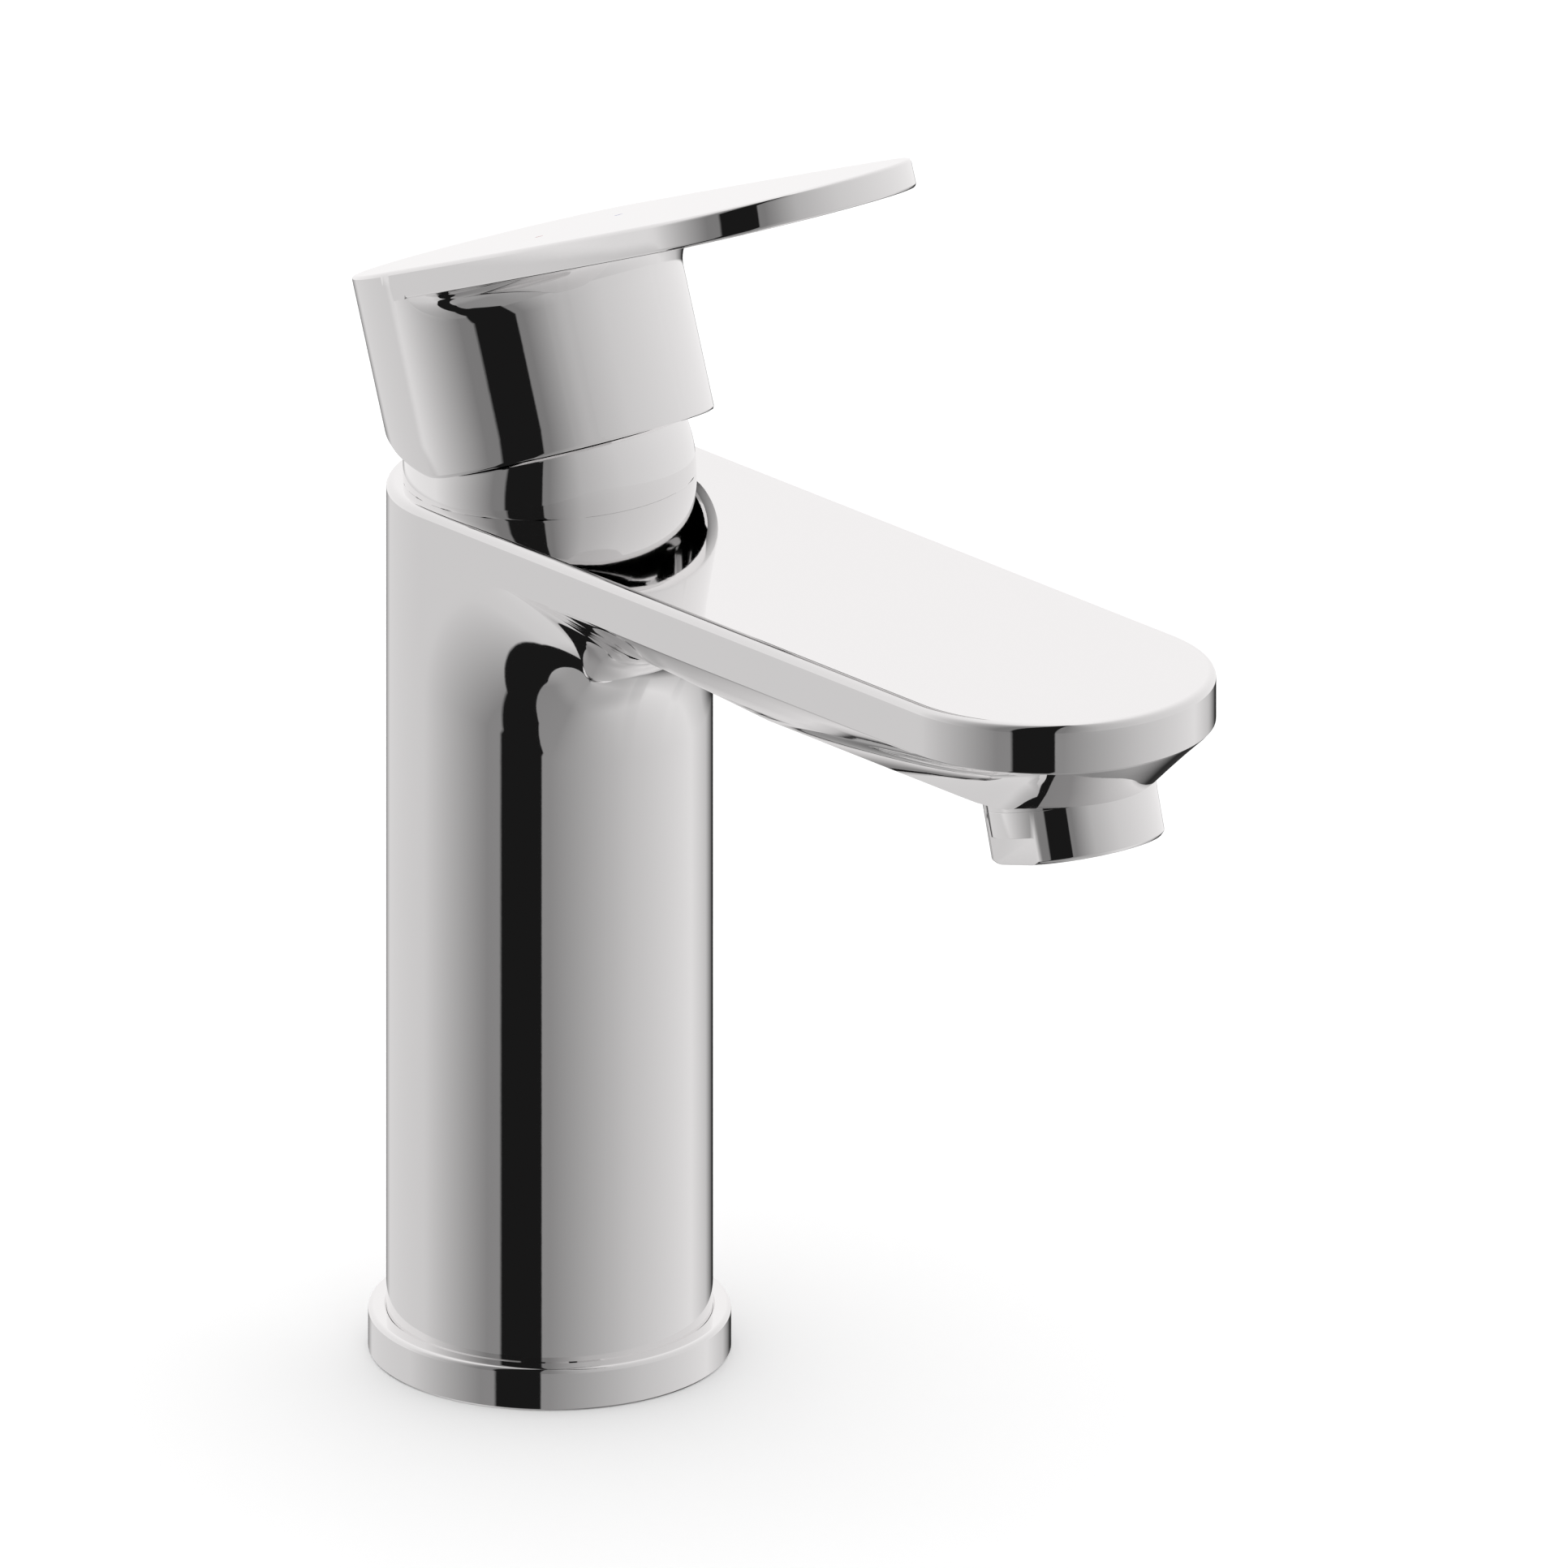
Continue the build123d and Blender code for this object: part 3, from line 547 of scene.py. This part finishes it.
class Value:
    """A shader socket; arithmetic on it adds Math nodes."""

    def __init__(self, tree, socket):
        self.tree = tree
        self.socket = socket

    def math(self, operation, first, second):
        node = self.tree.nodes.new("ShaderNodeMath")
        node.operation = operation
        for index, term in enumerate((first, second)):
            if isinstance(term, Value):
                self.tree.links.new(term.socket, node.inputs[index])
            else:
                node.inputs[index].default_value = term
        return Value(self.tree, node.outputs[0])

    def __add__(self, other):
        return self.math("ADD", self, other)

    __radd__ = __add__

    def __sub__(self, other):
        return self.math("SUBTRACT", self, other)

    def __rsub__(self, other):
        return self.math("SUBTRACT", other, self)

    def __mul__(self, other):
        return self.math("MULTIPLY", self, other)

    __rmul__ = __mul__

    def __truediv__(self, other):
        return self.math("DIVIDE", self, other)

    def smallest(self, other):
        return self.math("MINIMUM", self, other)

    def largest(self, other):
        return self.math("MAXIMUM", self, other)

    def angle_to(self, other):
        return self.math("ARCTAN2", self, other)


class Recipe:
    """Node tree of a material or the world, built one node at a time."""

    def __init__(self, owner):
        owner.use_nodes = True
        self.tree = owner.node_tree
        self.tree.nodes.clear()

    def node(self, kind, settings=None, inputs=None):
        node = self.tree.nodes.new(kind)
        for key, value in (settings or {}).items():
            if key == "stops":
                self.stops(node, value)
            else:
                setattr(node, key, value)
        for key, value in (inputs or {}).items():
            if isinstance(value, Value):
                value = value.socket
            if isinstance(value, bpy.types.NodeSocket):
                self.tree.links.new(value, node.inputs[key])
            else:
                node.inputs[key].default_value = value
        return node

    def stops(self, node, stops):
        elements = node.color_ramp.elements
        while len(elements) < len(stops):
            elements.new(0.5)
        for element, (position, colour) in zip(elements, stops):
            element.position = position
            element.color = colour if len(colour) == 4 else (*colour, 1.0)

    def value(self, node, output=0):
        return Value(self.tree, node.outputs[output])


def finish(name, colour, metallic, roughness, spread, grain, shade_spread, relief):
    """Finish with smudged roughness, slight tone change and a fine relief."""
    material = bpy.data.materials.new(name)
    recipe = Recipe(material)
    place = recipe.node("ShaderNodeTexCoord")
    broad = recipe.node(
        "ShaderNodeTexNoise", {"noise_dimensions": "3D"},
        {"Vector": place.outputs["Object"], "Scale": 45.0, "Detail": 4.0, "Roughness": 0.55},
    )
    fine = recipe.node(
        "ShaderNodeTexNoise", {"noise_dimensions": "3D"},
        {"Vector": place.outputs["Object"], "Scale": grain, "Detail": 2.0},
    )
    smudge = recipe.value(broad)
    speck = recipe.value(fine)
    rough = (smudge - 0.5) * spread + (speck - 0.5) * (spread * 0.5) + roughness
    dark = tuple(c * (1 - shade_spread) for c in colour) + (1.0,)
    mix = recipe.node(
        "ShaderNodeMix", {"data_type": "RGBA"},
        {"Factor": smudge, "A": (*colour, 1.0), "B": dark},
    )
    bump = recipe.node(
        "ShaderNodeBump", {}, {"Strength": relief, "Distance": 0.0001, "Height": speck}
    )
    surface = recipe.node(
        "ShaderNodeBsdfPrincipled", {},
        {"Base Color": mix.outputs["Result"], "Metallic": metallic, "Roughness": rough.largest(0.0),
         "Normal": bump.outputs[0]},
    )
    recipe.node("ShaderNodeOutputMaterial", {}, {"Surface": surface.outputs[0]})
    return material


FINISHES = {}


def get_finish(name):
    """Each finish is made once."""
    if name in FINISHES:
        return FINISHES[name]
    tones = bpy.context.scene.mixer_tones
    makers = {
        "chrome": lambda: finish("chrome", tuple(tones.chrome), 1.0, 0.03, 0.02, 900.0, 0.01, 0.01),
        "rubber": lambda: finish("rubber", tuple(tones.rubber), 0.0, 0.55, 0.15, 700.0, 0.3, 0.3),
        "pale_plastic": lambda: finish("pale_plastic", tuple(tones.pale), 0.0, 0.38, 0.1, 500.0, 0.05, 0.1),
        "grey_plastic": lambda: finish("grey_plastic", (0.2, 0.2, 0.21), 0.0, 0.4, 0.1, 500.0, 0.1, 0.12),
        "ceramic": lambda: finish("ceramic", (0.75, 0.74, 0.7), 0.0, 0.18, 0.05, 600.0, 0.04, 0.05),
        "steel": lambda: finish("steel", (0.58, 0.57, 0.55), 1.0, 0.25, 0.1, 800.0, 0.06, 0.1),
        "brass": lambda: finish("brass", tuple(tones.brass), 1.0, 0.3, 0.12, 600.0, 0.1, 0.15),
        "red_enamel": lambda: finish("red_enamel", tuple(tones.red), 0.0, 0.25, 0.05, 900.0, 0.1, 0.05),
        "blue_enamel": lambda: finish("blue_enamel", tuple(tones.blue), 0.0, 0.25, 0.05, 900.0, 0.1, 0.05),
    }
    FINISHES[name] = makers[name]()
    return FINISHES[name]


def lever_place():
    """The lever's own frame, with the pivot as its origin."""
    size = bpy.context.scene.mixer_lever
    return Matrix.Translation((0, 0, size.pivot_z)) @ Matrix.Rotation(-size.lean, 4, "X")


def plate_place():
    """Frame of the plate's top."""
    size = bpy.context.scene.mixer_lever
    step = Matrix.Translation((0, 0, size.plate_z)) @ Matrix.Rotation(-size.plate_tilt, 4, "X")
    return lever_place() @ step


def outlet_place():
    """Frame of the outlet, with its axis along the stream."""
    size = bpy.context.scene.mixer_outlet
    return Matrix.Translation((0, -size.reach, size.height)) @ Matrix.Rotation(-size.lean, 4, "X")


# ---------------------------------------------------------------- operators

# Outlet heights along the stream, from the sleeve's upper face
SLEEVE_GAP = 0.00005
SLEEVE_LOW = -0.0086
COLLAR_TOP = 0.0045
NIPPLE_R = 0.0105
NIPPLE_LOW = -0.0044
NIPPLE_TOP = 0.001
WATERWAY_R = 0.0092
WATERWAY_LOW = -0.0060
# Holes in the foot for two hoses and a stud, in millimetres: across, back, radius, depth
FOOT_HOLES = ((-9, -4.5, 5.0, 12), (9, -4.5, 5.0, 12), (0, 11, 4.0, 14))


class MIXER_OT_body(bpy.types.Operator):
    """Column and spout casting with its connections"""
    bl_idname = "mixer.body"
    bl_label = "Body casting"

    def execute(self, context):
        size = context.scene.mixer_body
        sleeve = context.scene.mixer_outlet.sleeve_r
        piece = body_skin(size)
        place = outlet_place()
        combine(piece, peg(sleeve + SLEEVE_GAP, SLEEVE_LOW, 0.0, place), "DIFFERENCE")
        combine(piece, peg(sleeve, 0.0, COLLAR_TOP, place), "UNION")
        combine(piece, peg(NIPPLE_R, NIPPLE_LOW, NIPPLE_TOP, place), "UNION")
        combine(piece, peg(WATERWAY_R, WATERWAY_LOW, COLLAR_TOP, place), "DIFFERENCE")
        for x, y, radius, depth in FOOT_HOLES:
            place = Matrix.Translation((x * MM, y * MM, 0))
            combine(piece, peg(radius * MM, -0.001, depth * MM, place, 64), "DIFFERENCE")
        shade(piece, 32)
        settle(piece, "root", "body_chrome", get_finish("chrome"), "mixer_body")
        return {"FINISHED"}


class MIXER_OT_base_ring(bpy.types.Operator):
    """Cover ring round the column's foot"""
    bl_idname = "mixer.base_ring"
    bl_label = "Base ring"

    def execute(self, context):
        size = context.scene.mixer_body
        outer = size.ring_r / MM
        high = size.ring_h / MM
        bore = size.column_r / MM + 0.03
        edge = size.ring_edge / MM
        profile = [(outer - 0.3, 0), (outer, 0.3), (outer, high - edge)]
        for part in np.radians(np.linspace(0, 90, 7)[1:]):
            profile.append((outer - edge * (1 - cos(part)), high - edge * (1 - sin(part))))
        profile += [(bore + 0.25, high), (bore, high - 0.25), (bore, 0)]
        profile += [(23.0, 0), (23.0, 1.6), (24.3, 1.6), (24.3, 0)]
        piece = turned("foot_ring", profile)
        shade(piece, 32)
        settle(piece, "root", "ring_chrome", get_finish("chrome"), "base_ring")
        return {"FINISHED"}


class MIXER_OT_dome(bpy.types.Operator):
    """Chromed cover over the cartridge"""
    bl_idname = "mixer.dome"
    bl_label = "Dome"

    def execute(self, context):
        size = context.scene.mixer_lever
        body = context.scene.mixer_body
        outer = size.dome_r / MM
        inner = outer - size.dome_wall / MM
        mouth = size.dome_mouth / MM
        centre = size.dome_z / MM
        profile = []
        for radius, flip in ((outer, False), (inner, True)):
            end = np.arccos(mouth / radius)
            arc = [(radius * cos(a), centre + radius * sin(a)) for a in np.linspace(radians(-7), end, 48)]
            profile += arc[::-1] if flip else arc
        piece = turned("dome_cover", profile)
        pick(piece)
        bpy.ops.object.mode_set(mode="EDIT")
        bpy.ops.mesh.select_all(action="SELECT")
        bpy.ops.mesh.bisect(
            plane_co=(0, 0, body.top_height), plane_no=(0, sin(body.top_rise), cos(body.top_rise)),
            use_fill=True, clear_inner=True,
        )
        bpy.ops.object.mode_set(mode="OBJECT")
        soften(piece, 0.12, 50, 2)
        shade(piece, 32)
        settle(piece, "root", "dome_chrome", get_finish("chrome"), "cartridge_dome")
        return {"FINISHED"}


# Inside the lever, from the pivot: boss, stiffening web, square socket for the stem
ROOF_BITE = 0.001
BOSS_R = 0.0075
BOSS_LOW = 0.009
WEB_HALF = 0.0045
WEB_LOW = 0.0129
WEB_BACK = 0.0211
SOCKET_HALF = 0.0038
SOCKET_LOW = -0.005
SOCKET_TOP = 0.0178
# Screw hole through the rear wall, with a wider seat for its plug
SCREW_HEIGHT = 0.0156
SCREW_R = 0.0025
SCREW_END = 0.0128
PLUG_R = 0.00305
PLUG_START = 0.0118
PLUG_END = 0.04
# Temperature marks on the plate
MARK_SIDE = 0.00683
MARK_HALF = 0.00055
MARK_FRONT = -0.0174
MARK_BACK = -0.0168
MARK_DEPTH = 0.0003
MARK_PROUD = 0.00001
MARK_GAP = 0.00003


class MIXER_OT_lever(bpy.types.Operator):
    """Lever casting with its boss, the plug and the temperature marks"""
    bl_idname = "mixer.lever"
    bl_label = "Lever"

    def execute(self, context):
        size = context.scene.mixer_lever
        place = lever_place()
        piece = lever_skin(size, place)
        roof = size.ceiling + ROOF_BITE
        combine(piece, peg(BOSS_R, BOSS_LOW, roof, place, 96), "UNION")
        combine(piece, brick((-WEB_HALF, 0, WEB_LOW), (WEB_HALF, WEB_BACK, roof), place), "UNION")
        socket = brick((-SOCKET_HALF, -SOCKET_HALF, SOCKET_LOW), (SOCKET_HALF, SOCKET_HALF, SOCKET_TOP), place)
        combine(piece, socket, "DIFFERENCE")
        across = place @ Matrix.Translation((0, 0, SCREW_HEIGHT)) @ Matrix.Rotation(-pi / 2, 4, "X")
        combine(piece, peg(SCREW_R, 0.0, SCREW_END, across, 48), "DIFFERENCE")
        combine(piece, peg(PLUG_R, PLUG_START, PLUG_END, across, 96), "DIFFERENCE")
        flat = plate_place()
        for side, colour, node in ((-1, "red_enamel", "hot_mark"), (1, "blue_enamel", "cold_mark")):
            corner = (side * MARK_SIDE - MARK_HALF, MARK_FRONT, -MARK_DEPTH)
            opposite = (side * MARK_SIDE + MARK_HALF, MARK_BACK, MARK_PROUD)
            cutter = brick(
                (corner[0] - MARK_GAP, corner[1] - MARK_GAP, corner[2]),
                (opposite[0] + MARK_GAP, opposite[1] + MARK_GAP, 0.001), flat,
            )
            combine(piece, cutter, "DIFFERENCE")
            inlay = brick(corner, opposite, flat)
            inlay.name = inlay.data.name = node.replace("mark", "inlay")
            soften(inlay, 0.05, 40, 2)
            shade(inlay, 40)
            settle(inlay, "lever", colour, get_finish(colour), node)
        shade(piece, 32)
        settle(piece, "lever", "lever_chrome", get_finish("chrome"), "lever_handle")
        plug = refined("plug_cover", "screw_plug", 0.15, 40)
        settle(plug, "lever", "plug_chrome", get_finish("chrome"), "screw_plug")
        return {"FINISHED"}


class MIXER_OT_outlet(bpy.types.Operator):
    """Aerator sleeve, insert and screen"""
    bl_idname = "mixer.outlet"
    bl_label = "Aerator"

    def execute(self, context):
        sleeve = refined("aerator_sleeve", "aerator_housing", 0.1, 30)
        settle(sleeve, "root", "aerator_chrome", get_finish("chrome"), "aerator_housing")
        insert = refined("aerator_cup", "aerator_insert", 0.06, 35)
        settle(insert, "root", "aerator_plastic", get_finish("pale_plastic"), "aerator_insert")
        screen = refined("aerator_mesh", "aerator_screen", 0.05, 35)
        settle(screen, "root", "screen_plastic", get_finish("pale_plastic"), "aerator_screen")
        return {"FINISHED"}


INNER_FINISHES = {
    "base_seal": "rubber", "inlet_seals": "rubber", "disc_seal": "rubber", "housing_gasket": "rubber",
    "dome_seal": "rubber", "aerator_gasket": "rubber", "cartridge_base": "grey_plastic",
    "cartridge_housing": "grey_plastic", "swivel_carrier": "pale_plastic", "disc_carrier": "pale_plastic",
    "fixed_disc": "ceramic", "moving_disc": "ceramic", "pivot_pin": "steel", "handle_screw": "steel",
    "stem": "brass", "cartridge_nut": "brass", "flow_regulator": "pale_plastic",
}


class MIXER_OT_inner_parts(bpy.types.Operator):
    """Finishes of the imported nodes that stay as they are"""
    bl_idname = "mixer.inner_parts"
    bl_label = "Inner parts"

    def execute(self, context):
        for node, colour in INNER_FINISHES.items():
            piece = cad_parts[node]
            material = get_finish(colour)
            for slot in piece.material_slots:
                slot.material = material
        return {"FINISHED"}


CAMERA_FROM = Vector((-0.5574, -0.7451, 0.3663)).normalized()
CAMERA_RIGHT = Vector((0.8007, -0.5990, 0.0)).normalized()
CAMERA_DISTANCE = 1.2
FRAME_WIDTH = 0.21587
# Middle of the frame, to the right of the origin and above it
AIM_RIGHT = 0.03226
AIM_UP = 0.07721

# Plain studio, as rings of soft grey: (degrees round from the front, grey from 0 to 255)
FLOOR_RING = [(-180, 150), (0, 150), (110, 180), (180, 150)]
WALL_RING = [
    (-180, 60), (-155, 210), (-100, 200), (-45, 130), (0, 135),
    (60, 190), (120, 220), (145, 190), (165, 40), (180, 60),
]
CEILING_RING = [(-180, 240), (-100, 220), (-45, 120), (0, 120), (25, 175), (60, 200), (180, 240)]
WALL_TONES = (FLOOR_RING, WALL_RING, CEILING_RING)
# Heights in degrees where one ring fades into the next
WALL_LIMITS = ((-75, -60), (-21, -19))
# Dark board beside the camera, leaning out at its foot: height in degrees, then its left and right edges
DARK_BOARD = ((-90, -150, -110), (-60, -95, -50), (-40, -50, -20), (-24, -36, -5), (90, -36, -5))
BOARD_GREY = 24
# Softness of the board's left and right edges, as shares of a full turn
LEFT_BLUR = 0.006
RIGHT_BLUR = 0.003
# What the plating gives back of a tone, and its slight warmth
PLATING = 0.92
WARMTH = 0.985
MATT_LIGHT = 1.5


def ring_of_tones(recipe, azimuth, grey, tones):
    """Colour ramp round the horizon."""
    stops = [((offset + 180) / 360, grey(level)) for offset, level in tones]
    return recipe.node("ShaderNodeValToRGB", {"stops": stops}, {"Fac": azimuth}).outputs[0]


class MIXER_OT_stage(bpy.types.Operator):
    """Floor, soft studio light and camera"""
    bl_idname = "mixer.stage"
    bl_label = "Stage"

    def execute(self, context):
        scene = context.scene
        deselect()
        bpy.ops.mesh.primitive_plane_add(size=4.0, location=(0, 0, 0))
        floor = named("floor")
        paint = finish("floor_paint", tuple(scene.mixer_tones.floor), 0.0, 0.8, 0.02, 60.0, 0.005, 0.0)
        floor.data.materials.append(paint)
        floor.visible_glossy = False
        self.world(scene)
        scene.view_settings.view_transform = "Standard"
        self.camera()
        return {"FINISHED"}

    def world(self, scene):
        """Studio walls as tones by direction, for reflections; even light for matt surfaces."""
        world = bpy.data.worlds.new("studio")
        scene.world = world
        recipe = Recipe(world)
        place = recipe.node("ShaderNodeTexCoord")
        way = place.outputs["Generated"]

        def along(vector):
            node = recipe.node("ShaderNodeVectorMath", {"operation": "DOT_PRODUCT"}, {0: way, 1: vector})
            return recipe.value(node, "Value")

        towards = Vector((CAMERA_FROM.x, CAMERA_FROM.y, 0)).normalized()
        azimuth = along(CAMERA_RIGHT).angle_to(along(towards)) / (2 * pi) + 0.5
        height = along(Vector((0, 0, 1)))

        def grey(level):
            linear = (level / 255 / 12.92) if level < 11 else ((level / 255 + 0.055) / 1.055) ** 2.4
            linear /= PLATING
            return (linear, linear * WARMTH, linear * WARMTH)

        layers = [ring_of_tones(recipe, azimuth, grey, tones) for tones in WALL_TONES]
        seen = layers[0]
        for (start, end), layer in zip(WALL_LIMITS, layers[1:]):
            share = recipe.node(
                "ShaderNodeMapRange", {"interpolation_type": "SMOOTHSTEP"},
                {"Value": height, "From Min": sin(radians(start)), "From Max": sin(radians(end))},
            )
            seen = recipe.node(
                "ShaderNodeMix", {"data_type": "RGBA"},
                {"Factor": share.outputs[0], "A": seen, "B": layer},
            ).outputs["Result"]
        edges = recipe.node(
            "ShaderNodeValToRGB",
            {"stops": [
                (0.5 + 0.5 * sin(radians(level)), ((left + 180) / 360, (right + 180) / 360, 0.0))
                for level, left, right in DARK_BOARD
            ]},
            {"Fac": height * 0.5 + 0.5},
        )
        split = recipe.node("ShaderNodeSeparateColor", {}, {"Color": edges.outputs[0]})
        inside = ((azimuth - recipe.value(split, "Red")) / LEFT_BLUR).largest(0.0).smallest(1.0)
        inside = inside * ((recipe.value(split, "Green") - azimuth) / RIGHT_BLUR).largest(0.0).smallest(1.0)
        seen = recipe.node(
            "ShaderNodeMix", {"data_type": "RGBA"},
            {"Factor": inside, "A": seen, "B": (*grey(BOARD_GREY), 1.0)},
        )
        ray = recipe.node("ShaderNodeLightPath")
        matt = recipe.node(
            "ShaderNodeMix", {"data_type": "RGBA"},
            {"Factor": ray.outputs["Is Diffuse Ray"], "A": seen.outputs["Result"],
             "B": (MATT_LIGHT, MATT_LIGHT, MATT_LIGHT, 1.0)},
        )
        final = recipe.node(
            "ShaderNodeMix", {"data_type": "RGBA"},
            {"Factor": ray.outputs["Is Camera Ray"], "A": matt.outputs["Result"], "B": (1.0, 1.0, 1.0, 1.0)},
        )
        light = recipe.node("ShaderNodeBackground", {}, {"Color": final.outputs["Result"], "Strength": 1.0})
        recipe.node("ShaderNodeOutputWorld", {}, {"Surface": light.outputs[0]})

    def camera(self):
        """Camera without perspective, along the three-quarter view."""
        up = CAMERA_FROM.cross(CAMERA_RIGHT).normalized()
        aim = CAMERA_RIGHT * AIM_RIGHT + up * AIM_UP
        bpy.ops.object.camera_add(location=aim + CAMERA_FROM * CAMERA_DISTANCE)
        camera = bpy.context.object
        camera.name = "camera"
        camera.rotation_euler = Matrix((CAMERA_RIGHT, up, CAMERA_FROM)).transposed().to_euler()
        camera.data.type = "ORTHO"
        camera.data.ortho_scale = FRAME_WIDTH
        camera.data.clip_end = 10.0
        bpy.context.scene.camera = camera


class MIXER_PT_panel(bpy.types.Panel):
    """Sidebar panel with every step"""
    bl_idname = "MIXER_PT_panel"
    bl_label = "Basin mixer"
    bl_space_type = "VIEW_3D"
    bl_region_type = "UI"
    bl_category = "Mixer"

    def draw(self, context):
        for step in STEPS:
            self.layout.operator(step.bl_idname)


GROUPS = {"mixer_body": BodySizes, "mixer_lever": LeverSizes, "mixer_outlet": OutletSizes, "mixer_tones": Tones}
STEPS = (
    MIXER_OT_stage, MIXER_OT_body, MIXER_OT_base_ring, MIXER_OT_dome, MIXER_OT_lever, MIXER_OT_outlet,
    MIXER_OT_inner_parts,
)


def register():
    for name, group in GROUPS.items():
        bpy.utils.register_class(group)
        setattr(bpy.types.Scene, name, bpy.props.PointerProperty(type=group))
    for step in (*STEPS, MIXER_PT_panel):
        bpy.utils.register_class(step)


def unregister():
    for step in reversed((*STEPS, MIXER_PT_panel)):
        bpy.utils.unregister_class(step)
    for name, group in GROUPS.items():
        delattr(bpy.types.Scene, name)
        bpy.utils.unregister_class(group)


def main():
    register()
    for step in STEPS:
        family, action = step.bl_idname.split(".")
        getattr(getattr(bpy.ops, family), action)()
    deselect()


if __name__ == "__main__":
    main()
